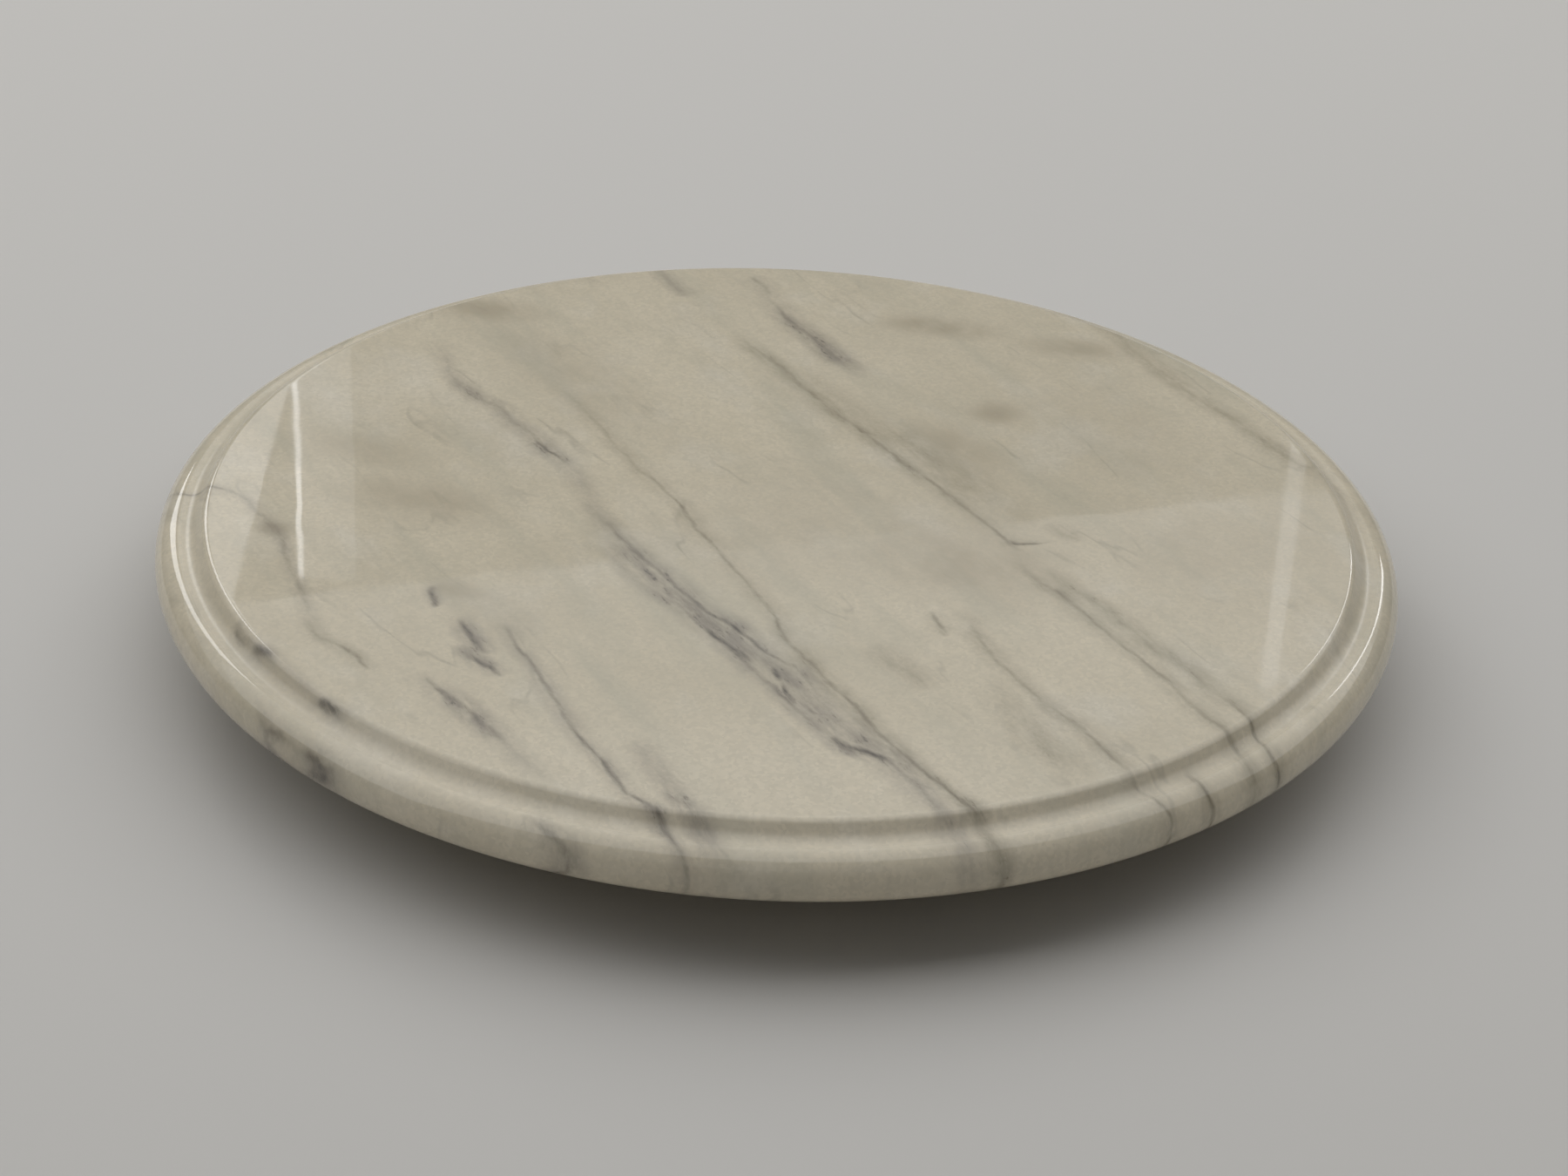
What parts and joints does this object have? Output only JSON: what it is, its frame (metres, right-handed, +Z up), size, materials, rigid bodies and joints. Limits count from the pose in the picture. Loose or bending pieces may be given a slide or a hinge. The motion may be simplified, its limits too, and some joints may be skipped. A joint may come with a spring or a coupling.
{
  "type": "stone working slab",
  "caption": "Round marble slab with a stepped, bullnosed edge and a polished flat top, raised on low rubber feet, for tooling leather on.",
  "frame": {"origin": "on the bench, under the centre of the slab", "axes": "+Z up along the slab's centre line, through the working face; the feet stand at 45 degrees to +X and +Y"},
  "size_m": [0.31, 0.31, 0.0341],
  "materials": {
    "marble": "polished cream-white marble with grey-violet veins",
    "foot_rubber": "matt black moulded rubber",
    "disc_foam": "dark grey acrylic foam, die-cut"
  },
  "bodies": {
    "root": {"stone_slab": "marble", "rubber_foot_1": "foot_rubber", "rubber_foot_2": "foot_rubber", "rubber_foot_3": "foot_rubber", "rubber_foot_4": "foot_rubber", "adhesive_disc_1": "disc_foam", "adhesive_disc_2": "disc_foam", "adhesive_disc_3": "disc_foam", "adhesive_disc_4": "disc_foam"}
  },
  "joints": []
}
